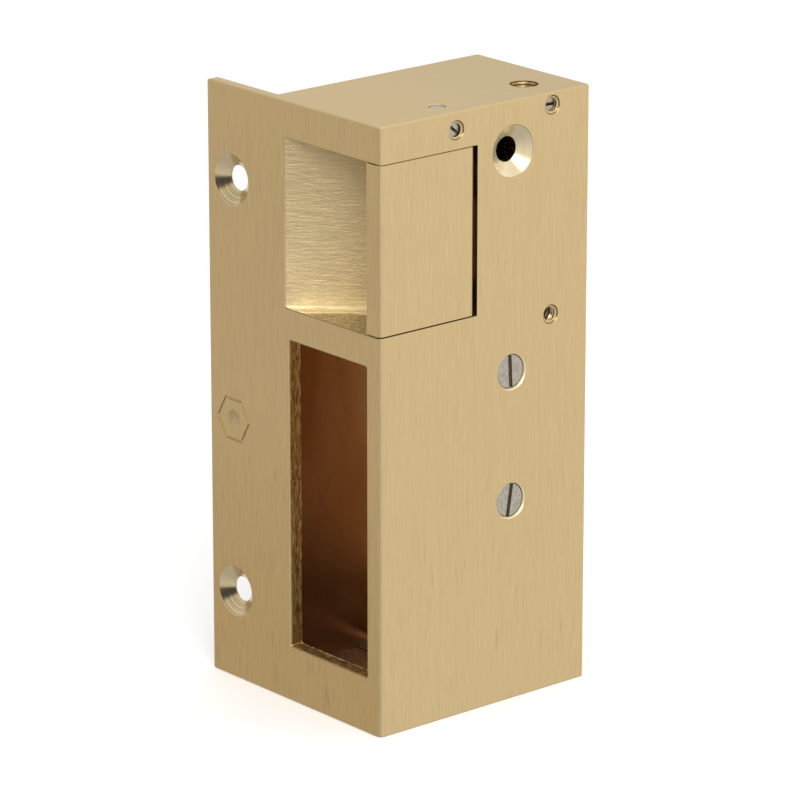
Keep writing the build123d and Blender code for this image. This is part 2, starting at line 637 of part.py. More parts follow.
def make_plunger_spring():
    low = PLUNGER_CLIP_LOW + CLIP_THICKNESS + 0.02
    high = YOKE_HEIGHTS[0] - 0.02
    turns = helix(PLUNGER_SPRING_RADIUS, PLUNGER_SPRING_WIRE, low, high, PLUNGER_SPRING_TURNS)
    return place(COIL_INSET, COIL_DEPTH, 0) * bent_wire(PLUNGER_SPRING_WIRE, [turns])


# --- screws -------------------------------------------------------------------------------
def make_solenoid_screws():
    """Slotted cheese-head screws from the side face into the solenoid's yoke."""
    screws = []
    seat = -HEAD_RECESS_DEPTH
    shank_end = -(SOLENOID_WALL + YOKE_THICKNESS - 0.1)
    for depth, height, turn in HEAD_SCREWS:
        head = Pos(0, 0, seat + HEAD_HEIGHT / 2) * Cylinder(HEAD_RADIUS, HEAD_HEIGHT)
        head = fillet(head.edges().sort_by(Axis.Z)[-1], HEAD_EDGE_RADIUS)
        shank = Pos(0, 0, (seat + shank_end) / 2) * Cylinder(M3_RADIUS, seat - shank_end)
        slot = Pos(0, 0, seat + HEAD_HEIGHT) * slot_cutter(8, *HEAD_SLOT)
        screws.append(side_frame(depth, height, turn) * (head + shank - slot))
    return screws


def make_set_screws():
    screws = []
    for depth, height, outer, inner, turn in SET_SCREWS:
        screw = Pos(0, 0, -(outer + inner) / 2) * Cylinder(M3_RADIUS, inner - outer)
        screw = chamfer(screw.edges().filter_by(GeomType.CIRCLE), 0.25)
        slot = Pos(0, 0, -outer) * slot_cutter(5, *SET_SCREW_SLOT)
        screws.append(side_frame(depth, height, 90 + turn) * (screw - slot))
    return screws


def make_top_plug_screw():
    low, high = PLUG_HEIGHTS
    plug = upright(LEVER_INSET, LEVER_DEPTH, PLUG_RADIUS, low, high)
    plug = chamfer(plug.edges().filter_by(GeomType.CIRCLE), 0.3)
    slot = place(LEVER_INSET, LEVER_DEPTH, high) * Rot(0, 0, 20)
    return plug - slot * slot_cutter(8, *PLUG_SLOT)


# --- terminals ----------------------------------------------------------------------------
def make_terminal_block():
    body = block(TERMINAL_INSETS, TERMINAL_DEPTHS, TERMINAL_HEIGHTS)
    body = chamfer(body.edges().filter_by(Axis.Z), 0.6)
    low, high = TERMINAL_HEIGHTS
    mid = (low + high) / 2
    outer, bore = TERMINAL_TUBE
    for depth in TERMINAL_POLES:
        body -= upright(TERMINAL_TUBE_INSET, depth, outer, low + 1.5, high + 1)
        body -= upright(TERMINAL_TUBE_INSET, depth, bore, low - 1, low + 2)
        body -= crosswise(depth, mid, TERMINAL_SCREW_RADIUS, (TERMINAL_TUBE_INSET, TERMINAL_INSETS[1] + 1))
    middle = sum(TERMINAL_POLES) / 2
    body -= crosswise(middle, mid, TERMINAL_SCREW_RADIUS, (TERMINAL_INSETS[0] - 1, TERMINAL_INSETS[1] + 1))
    return body - crosswise(middle, mid, TERMINAL_HEAD[0] + 0.1, (TERMINAL_SEAT, TERMINAL_INSETS[1] + 1))


def make_terminal_inserts():
    low, high = TERMINAL_HEIGHTS
    outer, bore = TERMINAL_TUBE
    inserts = []
    for depth in TERMINAL_POLES:
        sleeve = tube(TERMINAL_TUBE_INSET, depth, outer, bore, low + 1.5, high - 1.5)
        tapped = crosswise(depth, (low + high) / 2, TERMINAL_SCREW_RADIUS, (TERMINAL_TUBE_INSET, 20))
        inserts.append(sleeve - tapped)
    return inserts


def make_terminal_screws():
    mid = sum(TERMINAL_HEIGHTS) / 2
    outer_end = TERMINAL_INSETS[1] - 0.8
    screws = []
    for depth in TERMINAL_POLES:
        screw = crosswise(depth, mid, TERMINAL_SCREW_RADIUS, (TERMINAL_TUBE_INSET + 0.6, outer_end))
        slot = place(outer_end, depth, mid) * Rot(0, -90, 0)
        screws.append(screw - slot * slot_cutter(4, 0.5, 0.8))
    return screws


def make_terminal_fixing_screw():
    mid = sum(TERMINAL_HEIGHTS) / 2
    depth = sum(TERMINAL_POLES) / 2
    seat = TERMINAL_SEAT
    screw = crosswise(depth, mid, TERMINAL_SCREW_RADIUS, (2.4, seat))
    head_radius, head_height = TERMINAL_HEAD
    screw += crosswise(depth, mid, head_radius, (seat, seat + head_height))
    slot = place(seat + head_height, depth, mid) * Rot(0, -90, 0)
    return screw - slot * slot_cutter(6, 0.6, 0.8)


def make_coil_leads():
    """Two leads from the winding, out behind the yoke and down into the terminals."""
    start = COIL_DEPTH + TAPE_RADIUS - 0.1
    out = COIL_DEPTH + YOKE_WIDTH / 2 + 2.0
    first, second = TERMINAL_POLES
    near = TERMINAL_TUBE_INSET
    routes = (
        ((12.2, start, 36.5), (12.2, out, 36.5), (12.2, out, 21.0), (near, second, 20.0), (near, second, 13.5)),
        ((16.0, start, 39.0), (16.0, out, 39.0), (16.0, out, 19.4), (near, first, 19.4), (near, first, 13.5)),
    )
    leads = []
    for route in routes:
        points = [Vector(SIDE_X - inset, FRONT_Y + depth, height) for inset, depth, height in route]
        path = FilletPolyline(*points, radius=1.6)
        section = Plane(origin=path @ 0, z_dir=path % 0) * Circle(LEAD_RADIUS)
        leads.append(sweep(section, path=path))
    return leads


# --- export -------------------------------------------------------------------------------
PARTS = {
    "strike_body": make_strike_body,
    "back_cover": make_back_cover,
    "cover_screws": make_cover_screws,
    "cable_grommet": make_cable_grommet,
    "keeper": make_keeper,
    "keeper_pin": make_keeper_pin,
    "keeper_spring": make_keeper_spring,
    "locking_lever": make_locking_lever,
    "lever_pin": make_lever_pin,
    "lever_spring": make_lever_spring,
    "solenoid_frame": make_solenoid_frame,
    "solenoid_bobbin": make_solenoid_bobbin,
    "solenoid_winding": make_solenoid_winding,
    "winding_tape": make_winding_tape,
    "fixed_pole": make_fixed_pole,
    "plunger": make_plunger,
    "push_rod": make_push_rod,
    "rod_clip": make_rod_clip,
    "plunger_clip": make_plunger_clip,
    "plunger_spring": make_plunger_spring,
    "solenoid_screws": make_solenoid_screws,
    "set_screws": make_set_screws,
    "top_plug_screw": make_top_plug_screw,
    "terminal_block": make_terminal_block,
    "terminal_inserts": make_terminal_inserts,
    "terminal_screws": make_terminal_screws,
    "terminal_fixing_screw": make_terminal_fixing_screw,
    "coil_leads": make_coil_leads,
}

os.makedirs("parts", exist_ok=True)
for name, make in PARTS.items():
    made = make()
    pieces = made if isinstance(made, list) else [made]
    solids = [solid for piece in pieces for solid in piece.solids()]
    shape = solids[0] if len(solids) == 1 else Compound(children=solids)
    export_step(shape, f"parts/{name}.step")
    print(name, len(solids), "solid(s)", round(sum(solid.volume for solid in solids), 2), "mm3")
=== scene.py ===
import json
import math

import bpy
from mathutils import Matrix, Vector


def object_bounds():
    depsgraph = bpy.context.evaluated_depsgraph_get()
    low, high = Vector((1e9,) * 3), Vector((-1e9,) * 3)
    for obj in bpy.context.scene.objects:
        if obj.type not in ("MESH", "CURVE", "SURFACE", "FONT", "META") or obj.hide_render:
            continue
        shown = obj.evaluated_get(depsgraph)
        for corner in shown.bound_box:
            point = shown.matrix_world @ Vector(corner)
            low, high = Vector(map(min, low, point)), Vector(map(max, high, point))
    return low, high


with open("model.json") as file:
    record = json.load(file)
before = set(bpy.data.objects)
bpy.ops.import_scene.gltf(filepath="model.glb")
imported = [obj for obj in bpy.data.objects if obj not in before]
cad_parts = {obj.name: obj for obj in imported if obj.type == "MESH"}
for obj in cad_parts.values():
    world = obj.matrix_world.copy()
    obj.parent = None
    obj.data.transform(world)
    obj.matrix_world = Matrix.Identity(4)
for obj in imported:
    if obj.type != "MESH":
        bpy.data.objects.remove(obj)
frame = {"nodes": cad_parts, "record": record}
CAD_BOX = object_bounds()
NODES = frame["nodes"]
MM = 0.001

# --- camera: degrees and metres, with the lens and sensor in millimetres --------------------
AZIMUTH = 49.55
ELEVATION = 17.45
DISTANCE = 0.8658
LENS = 223.05
SENSOR = 36.0
CLIP = (0.02, 50.0)
AIM_ACROSS = 0.0004
AIM_UP = -0.0032


def make_camera():
    low, high = CAD_BOX
    centre = (low + high) / 2
    a = math.radians(AZIMUTH)
    e = math.radians(ELEVATION)
    back = Vector((math.sin(a) * math.cos(e), -math.cos(a) * math.cos(e), math.sin(e)))
    right = Vector((math.cos(a), math.sin(a), 0.0))
    up = back.cross(right)
    data = bpy.data.cameras.new("camera")
    data.lens = LENS
    data.sensor_width = SENSOR
    data.clip_start, data.clip_end = CLIP
    camera = bpy.data.objects.new("camera", data)
    camera.location = centre + right * AIM_ACROSS + up * AIM_UP + back * DISTANCE
    camera.rotation_mode = "QUATERNION"
    camera.rotation_quaternion = back.to_track_quat("Z", "Y")
    bpy.context.scene.collection.objects.link(camera)
    bpy.context.scene.camera = camera


# --- node helpers ---------------------------------------------------------------------------
class Nodes:
    """A node tree, with short ways to add nodes. Masks go from 0 to 1."""

    def __init__(self, tree):
        self.tree = tree
        tree.nodes.clear()
        self.place = self.add("ShaderNodeTexCoord")

    def add(self, kind, **values):
        node = self.tree.nodes.new(kind)
        for key, value in values.items():
            setattr(node, key, value)
        return node

    def put(self, socket, value):
        """Link a socket to another one, or set it to a constant."""
        if isinstance(value, bpy.types.NodeSocket):
            self.tree.links.new(value, socket)
        elif isinstance(value, tuple) and len(value) == 3 and socket.type == "RGBA":
            socket.default_value = (*value, 1.0)
        else:
            socket.default_value = value

    # Numbers.
    def math(self, operation, a, b=0.0, clamp=False):
        node = self.add("ShaderNodeMath", operation=operation, use_clamp=clamp)
        self.put(node.inputs[0], a)
        self.put(node.inputs[1], b)
        return node.outputs[0]

    def chain(self, operation, values):
        total = values[0]
        for value in values[1:]:
            total = self.math(operation, total, value)
        return total

    def plus(self, *terms):
        return self.chain("ADD", terms)

    def minus(self, a, b):
        return self.math("SUBTRACT", a, b)

    def times(self, *factors):
        return self.chain("MULTIPLY", factors)

    def size(self, value):
        return self.math("ABSOLUTE", value)

    def sine(self, value):
        return self.math("SINE", value)

    def centred(self, value, gain):
        """Noise moved to the middle of zero and scaled."""
        return self.times(self.minus(value, 0.5), gain)

    def blend(self, mask, a, b):
        """The number a where the mask is 0, and b where it is 1."""
        node = self.add("ShaderNodeMix", data_type="FLOAT")
        self.put(node.inputs[0], mask)
        self.put(node.inputs[2], a)
        self.put(node.inputs[3], b)
        return node.outputs[0]

    # Masks.
    def step(self, value, low, high):
        """0 below low, 1 above high, smooth between them."""
        node = self.add("ShaderNodeMapRange", interpolation_type="SMOOTHSTEP")
        self.put(node.inputs["Value"], value)
        node.inputs["From Min"].default_value = low
        node.inputs["From Max"].default_value = high
        return node.outputs[0]

    def between(self, value, low, high, soft):
        """1 between low and high, with soft edges."""
        rise = self.step(value, low - soft, low + soft)
        fall = self.step(value, high - soft, high + soft)
        return self.math("SUBTRACT", rise, fall, clamp=True)

    def both(self, *masks):
        return self.chain("MULTIPLY", masks)

    def either(self, *masks):
        return self.chain("MAXIMUM", masks)

    def opposite(self, mask):
        return self.minus(1.0, mask)

    # Vectors.
    def split(self, vector):
        node = self.add("ShaderNodeSeparateXYZ")
        self.put(node.inputs[0], vector)
        return node.outputs

    def scaled(self, vector, gain):
        node = self.add("ShaderNodeVectorMath", operation="SCALE")
        self.put(node.inputs[0], vector)
        self.put(node.inputs["Scale"], gain)
        return node.outputs[0]

    def dot(self, vector, direction):
        node = self.add("ShaderNodeVectorMath", operation="DOT_PRODUCT")
        self.put(node.inputs[0], vector)
        node.inputs[1].default_value = direction
        return node.outputs["Value"]

    def stretch(self, vector, scale, turn=0.0):
        """The vector turned about Z by some degrees and then scaled along each axis."""
        turned = vector
        if turn:
            first = self.add("ShaderNodeMapping")
            self.put(first.inputs["Vector"], vector)
            first.inputs["Rotation"].default_value = (0.0, 0.0, math.radians(turn))
            turned = first.outputs[0]
        node = self.add("ShaderNodeMapping")
        self.put(node.inputs["Vector"], turned)
        node.inputs["Scale"].default_value = scale
        return node.outputs[0]


class Shader(Nodes):
    """A material around one Principled surface."""

    def __init__(self, name):
        self.material = bpy.data.materials.new(name)
        self.material.use_nodes = True
        super().__init__(self.material.node_tree)
        self.surface = self.add("ShaderNodeBsdfPrincipled")
        out = self.add("ShaderNodeOutputMaterial")
        self.tree.links.new(self.surface.outputs[0], out.inputs["Surface"])

    def millimetres(self):
        """Position in the row's frame, in millimetres."""
        return self.scaled(self.place.outputs["Object"], 1000.0)

    def mix(self, mask, a, b):
        """The colour a where the mask is 0, and b where it is 1."""
        node = self.add("ShaderNodeMix", data_type="RGBA")
        self.put(node.inputs[0], mask)
        self.put(node.inputs[6], a)
        self.put(node.inputs[7], b)
        return node.outputs[2]

    def noise(self, vector, scale, detail=2.0, rough=0.5, distortion=0.0):
        node = self.add("ShaderNodeTexNoise")
        self.put(node.inputs["Vector"], vector)
        node.inputs["Scale"].default_value = scale
        node.inputs["Detail"].default_value = detail
        node.inputs["Roughness"].default_value = rough
        node.inputs["Distortion"].default_value = distortion
        return node.outputs["Fac"]

    def rings(self, radius, scale, detail):
        """Noise that changes only with the distance from a hole's axis."""
        node = self.add("ShaderNodeCombineXYZ")
        self.put(node.inputs[0], radius)
        return self.noise(node.outputs[0], scale, detail, rough=0.6)

    def bump(self, height, strength, distance):
        node = self.add("ShaderNodeBump")
        self.put(node.inputs["Height"], height)
        node.inputs["Strength"].default_value = strength
        node.inputs["Distance"].default_value = distance
        return node.outputs[0]

    def finish(self, colour, metal, rough, normal):
        self.put(self.surface.inputs["Base Color"], colour)
        self.put(self.surface.inputs["Metallic"], metal)
        self.put(self.surface.inputs["Roughness"], rough)
        self.put(self.surface.inputs["Normal"], normal)
        return self.material


# --- brass: colours -------------------------------------------------------------------------
BRASS = (0.60, 0.458, 0.245)
BRASS_WARM = (0.61, 0.448, 0.225)
# Front faces: a darker, more saturated copy of the brass, painted shade by the way the face looks.
FRONT_SHADED_BRASS = (0.595, 0.432, 0.215)
FRONT_SHADED_WARM = (0.605, 0.424, 0.200)
# Front faces lower down: darker and more saturated, painted shade.
FRONT_LOW_SHADE = (0.590, 0.405, 0.175)
# Flat ends: a darker, more saturated copy of the brass, painted shade by face direction.
END_SHADED_BRASS = (0.565, 0.418, 0.186)
# Edges: lighter brass, a painted highlight along every rounded or chamfered edge.
EDGE_HIGHLIGHT_BRASS = (0.63, 0.48, 0.25)
CUT_BRASS = (0.68, 0.525, 0.29)
# The mark: darker brass, painted shade in its grooves.
MARK_GROOVE_SHADE = (0.50, 0.375, 0.19)
# Notch floor near the ramp: near-white and dark bands, painted highlights and painted reflections on its
# tool-mark waves.
FLOOR_WAVE_HIGHLIGHT = (1.0, 1.0, 0.90)
FLOOR_WAVE_SHADE = (0.72, 0.66, 0.47)
CHURN_LIGHT = (0.58, 0.51, 0.33)
CHURN_DARK = (0.16, 0.125, 0.06)
# Closed inside and chamber: dark brass, painted shade.
INSIDE_SHADE_BRASS = (0.32, 0.16, 0.06)
POCKET_BRASS = (0.62, 0.42, 0.25)
POCKET_STAIN = (0.54, 0.33, 0.18)
# Lower part of the pocket: darker, painted shade.
POCKET_LOW_SHADE = (0.33, 0.20, 0.12)
POCKET_FLOOR_LIGHT = (0.62, 0.58, 0.43)
POCKET_FLOOR_DARK = (0.32, 0.28, 0.18)
# Dark line where the pocket floor turns into its rounded back corner: painted shade in the crease.
POCKET_CORNER_SHADE = (0.16, 0.10, 0.05)
JAMB_DARK = (0.44, 0.25, 0.06)
JAMB_BRIGHT = (1.0, 0.74, 0.29)
SILL_SHADOW = (0.09, 0.045, 0.010)
SILL_FLECK = (0.40, 0.25, 0.08)
# Pale flecks on the mouth's lips and a ring in the plug hole: burrs, coloured as a painted highlight.
BURR_HIGHLIGHT = (0.95, 0.84, 0.60)
# Upward-facing lower rims of the pocket mouth and the notch: darker brass, painted shade.
RIM_SHADE_BRASS = (0.30, 0.22, 0.10)
# Side-hole threads: rings dark and light in turn, painted shade and painted highlight on the thread flanks.
THREAD_HIGHLIGHT = (0.60, 0.46, 0.25)
THREAD_SHADE = (0.26, 0.18, 0.08)
# Plug hole wall: dark brass, painted shade, with a pale ring near its top as a painted highlight.
PLUG_WALL_SHADE = (0.28, 0.18, 0.08)
# Screw-head recess walls: pale brass, a painted highlight.
RECESS_HIGHLIGHT_BRASS = (0.74, 0.63, 0.42)
# Body countersink: pale brass as painted light, with a dark ring at its rim as painted shade.
SINK_LIGHT = (0.74, 0.62, 0.41)
SINK_DARK = (0.69, 0.57, 0.36)
SINK_RIM_SHADE = (0.40, 0.30, 0.14)
# Flange countersinks: dark lathe rings, real tool marks, drawn only on the upward-facing lower wall where
# the light shows them, so partly painted shade.
LATHE_LIGHT = (0.72, 0.59, 0.36)
LATHE_DARK = (0.34, 0.24, 0.11)

# --- brass: roughness, and relief in millimetres --------------------------------------------
BRUSHED_ROUGH = 0.40
RAMP_ROUGH = 0.36
NOTCH_FLOOR_ROUGH = 0.26
POCKET_ROUGH = 0.31
POCKET_FLOOR_ROUGH = 0.38
MOUTH_ROUGH = 0.30
TURNED_ROUGH = 0.20
BRUSHED_RELIEF = 0.014
CUT_RELIEF = 0.20
COARSE_CUT_RELIEF = 0.12
WAVE_RELIEF = 0.03
CHURNED_RELIEF = 0.15
STAIN_RELIEF = 0.01
POCKET_FLOOR_RELIEF = 0.08
TORN_RELIEF = 0.22
THREAD_RELIEF = 0.05
BODY_SINK_RELIEF = 0.0005
LATHE_RELIEF = 0.03
BUMP_STRENGTH = 0.7

# --- brass: places in the row's frame, in millimetres ---------------------------------------
OPENING = (71.5, 101.5)
NOTCH = ((-2.35, 12.75), (-23.45, -9.3), (OPENING[0] - 0.05, OPENING[1] + 0.05))
NOTCH_FLOOR = ((-2.35, 22.5), (-23.45, 0.0), (OPENING[0] - 0.2, OPENING[0] + 0.6))
RAMP_START = (-2.2, -23.5)
INSIDE = ((-5.4, 22.3), (-22.8, 22.8), (0.8, 107.2))
CHAMBER = ((-5.4, 19.4), (-1.3, 22.8), (0.8, 107.2))
POCKET = ((-5.4, 22.3), (-22.8, -2.8), (4.8, 66.1))
POCKET_SHADE = (8.0, 15.0)
POCKET_CORNER_LINE_DEPTH = (-6.3, -5.9)
MOUTH = ((-1.25, 19.55), (-23.34, -20.88), (10.05, 65.95))
OUTER_LIP = (-23.25, -22.95)
INNER_LIP = (-21.30, -21.10)
POCKET_RIM = (9.9, 10.15)
NOTCH_RIM = (71.3, 71.55)
RIM_DEPTH = (-23.3, -23.2)
SIDE_WALL = (17.0, 22.95)
FLANGE_WALL = (-23.46, -21.56)
TOP_WALL = (103.0, 107.95)
PLUG_HIGHLIGHT_RING = (107.45, 107.75)
MARK_DEPTH = (-23.49, -23.2)
MARK_EDGE = (-11.0, -10.9)
MARK_HEIGHT = (40.0, 56.0)
SINK_LINE = (4.45, 4.58)
THREAD_PITCH = 0.5

# Round holes: where the axis crosses its wall, and the radius.
BODY_SINK = ((6.1, 99.1, 4.72),)
SIDE_HOLES = ((-6.65, 104.8, 2.0), (15.0, 105.7, 2.0), (15.0, 68.6, 2.0))
RECESSES = ((6.15, 59.95, 3.36), (6.15, 36.65, 3.36))
FLANGE_SINKS = ((-16.5, 16.2, 4.72), (-16.5, 91.2, 4.72))
PLUG_HOLE = ((15.7, 15.0, 2.6),)

# How brushing is stretched along its direction.
UPRIGHT_GRAIN = (2.3, 2.3, 0.055)
ACROSS_GRAIN = (0.12, 2.0, 2.0)
ACROSS_TURN = -49.0


class BlockBrass(Shader):
    """The block, keeper and cover: brushed outside, machined inside, by place and direction."""

    def __init__(self):
        super().__init__("satin_brass")
        self.point = self.millimetres()
        self.x, self.y, self.z = self.split(self.point)
        self.nx, self.ny, self.nz = self.split(self.place.outputs["Normal"])
        self.find_directions()
        self.find_hollows()
        self.find_holes()
        self.make_patterns()
        self.make_brushing()
        normal = self.bump(self.relief(), BUMP_STRENGTH, MM)
        self.finish(self.colour(), self.metal(), self.rough(), normal)

    # Where each finish is.
    def within(self, box, soft):
        """1 inside a box of x, y and z ranges, with its own softness along each axis."""
        axes = zip((self.x, self.y, self.z), box, soft)
        return self.both(*(self.between(value, low, high, edge) for value, (low, high), edge in axes))

    def find_directions(self):
        """Masks by the direction that a surface faces."""
        squareness = self.either(self.size(self.nx), self.size(self.ny), self.size(self.nz))
        self.edge = self.opposite(self.step(squareness, 0.90, 0.985))
        self.front = self.step(self.times(self.ny, -1.0), 0.7, 0.9)
        self.flat_end = self.step(self.size(self.nz), 0.6, 0.8)
        self.slanted = self.step(self.times(self.nx, self.ny, -2.0), 0.3, 0.6)

    def find_hollows(self):
        """Masks of the notch, the pocket with its mouth, and the closed inside."""
        self.ramp = self.both(self.slanted, self.within(NOTCH, (0.10, 0.02, 0.02)))
        floor_band = self.within(NOTCH_FLOOR, (0.10, 0.02, 0.05))
        self.notch_floor = self.both(floor_band, self.opposite(self.slanted), self.step(self.nz, 0.2, 0.4))
        open_heights = self.between(self.z, OPENING[0] - 0.3, OPENING[1] + 0.3, 0.02)
        closed = self.both(self.within(INSIDE, (0.05, 0.05, 0.05)), self.opposite(open_heights))
        self.inside = self.either(closed, self.within(CHAMBER, (0.05, 0.05, 0.05)))
        self.pocket = self.within(POCKET, (0.05, 0.05, 0.05))
        self.pocket_low_shade = self.both(self.pocket, self.opposite(self.step(self.z, *POCKET_SHADE)))
        self.pocket_floor = self.both(self.pocket, self.step(self.nz, 0.75, 0.90))
        self.pocket_corner_shade = self.both(self.pocket_floor, self.between(self.y, *POCKET_CORNER_LINE_DEPTH, 0.1))
        self.mouth = self.within(MOUTH, (0.01, 0.02, 0.01))
        self.sill = self.step(self.nz, 0.7, 0.9)
        # The upward-facing lower rims, darkened as painted shade.
        rim_heights = self.either(
            self.between(self.z, *POCKET_RIM, 0.03),
            self.between(self.z, *NOTCH_RIM, 0.03),
        )
        at_face = self.opposite(self.step(self.y, *RIM_DEPTH))
        self.shaded_lower_rims = self.both(self.edge, rim_heights, at_face, self.step(self.nz, 0.4, 0.6))

    def round_places(self, holes, a, b, wall):
        """Mask of the surfaces within some holes, and the distance from the nearest hole's axis."""
        masks = []
        distances = []
        for a0, b0, radius in holes:
            da = self.minus(a, a0)
            db = self.minus(b, b0)
            distance = self.math("SQRT", self.plus(self.times(da, da), self.times(db, db)))
            masks.append(self.opposite(self.step(distance, radius - 0.02, radius + 0.02)))
            distances.append(distance)
        return self.both(self.either(*masks), wall), self.chain("MINIMUM", distances)

    def find_holes(self):
        """Masks of the round holes and the raised mark."""
        side_wall = self.between(self.x, *SIDE_WALL, 0.02)
        flange_wall = self.between(self.y, *FLANGE_WALL, 0.02)
        top_wall = self.between(self.z, *TOP_WALL, 0.02)
        self.body_sink, self.body_radius = self.round_places(BODY_SINK, self.y, self.z, side_wall)
        self.side_holes, _ = self.round_places(SIDE_HOLES, self.y, self.z, side_wall)
        self.recesses, _ = self.round_places(RECESSES, self.y, self.z, side_wall)
        self.flange_sinks, self.flange_radius = self.round_places(FLANGE_SINKS, self.x, self.z, flange_wall)
        self.plug_hole, _ = self.round_places(PLUG_HOLE, self.x, self.y, top_wall)
        self.mark = self.both(
            self.between(self.y, *MARK_DEPTH, 0.01),
            self.opposite(self.step(self.x, *MARK_EDGE)),
            self.between(self.z, *MARK_HEIGHT, 0.5),
        )

    # Patterns.
    def streaks(self, scale, depth, turn=0.0):
        """Brushing along one direction: its height about zero, and the fine part alone."""
        stretched = self.stretch(self.point, scale, turn)
        fine = self.noise(stretched, scale=4.2, detail=3.0, rough=0.75)
        middle = self.noise(stretched, scale=1.2)
        broad = self.noise(self.stretch(self.point, (0.5, 0.5, 0.3)), scale=0.45)
        dark = self.step(self.noise(stretched, scale=2.9, detail=1.0, rough=0.4), 0.60, 0.72)
        dark = self.both(dark, self.step(broad, 0.35, 0.70))
        light = self.step(self.noise(stretched, scale=3.3, detail=1.0, rough=0.4), 0.62, 0.74)
        total = self.plus(
            self.centred(fine, 0.9),
            self.centred(middle, 0.28),
            self.centred(broad, 0.12),
            self.times(light, 0.22),
        )
        return self.minus(total, self.times(dark, depth)), fine

    def make_patterns(self):
        """The marks that tools, dirt and wear leave."""
        point = self.point
        cut_grain = self.stretch(point, (0.16, 0.16, 1.2))
        self.cut = self.noise(cut_grain, scale=3.4, detail=5.0, rough=0.75, distortion=0.5)
        self.coarse_cut = self.noise(self.stretch(point, (0.12, 0.12, 1.0)), scale=1.5, distortion=0.3)
        across_ramp = self.minus(self.minus(self.x, RAMP_START[0]), self.minus(self.y, RAMP_START[1]))
        wander = self.centred(self.noise(point, scale=0.25), 2.2)
        self.from_ramp = self.plus(self.times(across_ramp, math.sqrt(0.5)), wander)
        self.waves = self.sine(self.times(self.from_ramp, 3.3))
        self.churned = self.noise(point, scale=1.9, detail=5.0, rough=0.7, distortion=1.2)
        stain_grain = self.stretch(point, (0.6, 0.6, 0.25))
        self.stain = self.noise(stain_grain, scale=0.16, detail=3.0, distortion=0.6)
        torn_grain = self.stretch(point, (0.8, 1.6, 0.35))
        self.torn = self.noise(torn_grain, scale=1.3, detail=6.0, rough=0.7, distortion=0.9)
        self.body_rings = self.rings(self.body_radius, scale=3.0, detail=3.0)
        self.flange_rings = self.rings(self.flange_radius, scale=5.5, detail=2.0)
        self.lower_wall = self.step(self.nz, 0.05, 0.30)
        self.thread = self.sine(self.times(self.x, math.tau / THREAD_PITCH))

    def make_brushing(self):
        """How light or dark each spot of the brushed and cut faces is: brushing streaks, with painted light
        and shade laid over the front faces, the flat ends and the ramp.
        """
        depth = self.blend(self.step(self.z, 8.0, 50.0), 0.75, 0.42)
        upright, self.upright_fine = self.streaks(UPRIGHT_GRAIN, depth)
        across, self.across_fine = self.streaks(ACROSS_GRAIN, 0.4, ACROSS_TURN)
        brushed = self.times(upright, self.blend(self.front, 1.0, 1.35))
        # Painted light: a lighter band across the middle height of the front faces.
        middle = self.both(self.front, self.between(self.z, 34.0, 78.0, 20.0))
        brushed = self.plus(brushed, self.times(middle, 0.13))
        # Painted shade: the flat ends darker towards the back.
        end_back_shade = self.times(self.step(self.y, -20.0, 24.0), -0.22)
        brushed = self.blend(self.flat_end, brushed, self.plus(self.times(across, 0.8), end_back_shade))
        cutting = self.plus(self.centred(self.cut, 1.3), self.centred(self.coarse_cut, 0.6))
        # Painted shade and painted light: the ramp darker at its top under the cap and lighter at its foot.
        ramp_light_and_shade = self.blend(self.step(self.z, 70.0, 102.0), 0.42, -0.38)
        self.brushed = self.blend(self.ramp, brushed, self.plus(cutting, ramp_light_and_shade))

    # Colour.
    def layered(self, colour, layers):
        for mask, layer in layers:
            colour = self.mix(mask, colour, layer)
        return colour

    def outside(self):
        """The brushed faces, the ramp and the mark, with painted shade on the front faces, the flat ends
        and the mark, and a painted highlight along the edges.
        """
        mottle = self.noise(self.stretch(self.point, (1.0, 1.0, 0.5)), scale=0.06)
        side = self.mix(mottle, BRASS_WARM, BRASS)
        # Painted shade: the front faces darker towards the bottom.
        low = self.both(self.front, self.opposite(self.step(self.z, 2.0, 62.0)))
        plain = self.layered(side, (
            # front faces: the painted-shade copy of the brass
            (self.front, self.mix(mottle, FRONT_SHADED_WARM, FRONT_SHADED_BRASS)),
            (low, FRONT_LOW_SHADE),
            # flat ends: the painted-shade copy of the brass
            (self.flat_end, END_SHADED_BRASS),
            # edges: the painted highlight
            (self.times(self.edge, 0.8), EDGE_HIGHLIGHT_BRASS),
            (self.ramp, CUT_BRASS),
            # mark: painted shade
            (self.mark, MARK_GROOVE_SHADE),
        ))
        return self.scaled(plain, self.plus(1.0, self.times(self.brushed, 0.36)))

    def milled_floor(self):
        """The notch's floor: tool-mark waves near the ramp, coloured as painted highlights and painted
        reflections, and torn metal farther out.
        """
        wave_light_and_shade = self.mix(self.step(self.waves, -0.6, 0.7), FLOOR_WAVE_SHADE, FLOOR_WAVE_HIGHLIGHT)
        deep = self.mix(self.step(self.churned, 0.40, 0.60), CHURN_DARK, CHURN_LIGHT)
        return self.mix(self.step(self.from_ramp, 2.4, 4.2), wave_light_and_shade, deep)

    def rough_mouth(self):
        """The wall around the pocket's mouth, sawn, its sill in painted shadow with flecks, and pale burrs
        on its lips coloured as a painted highlight.
        """
        jamb = self.mix(self.step(self.torn, 0.38, 0.66), JAMB_DARK, JAMB_BRIGHT)
        flecked = self.mix(self.step(self.torn, 0.44, 0.62), SILL_SHADOW, SILL_FLECK)
        outer_lip = self.opposite(self.step(self.y, *OUTER_LIP))
        outer_lip = self.times(outer_lip, self.blend(self.sill, 0.6, 0.12))
        inner_lip = self.both(self.step(self.y, *INNER_LIP), self.step(self.torn, 0.40, 0.60))
        # Burrs on the lips, coloured pale as a painted highlight.
        burrs_and_highlight = self.either(outer_lip, inner_lip, self.step(self.churned, 0.66, 0.72))
        return self.mix(burrs_and_highlight, self.mix(self.sill, jamb, flecked), BURR_HIGHLIGHT)

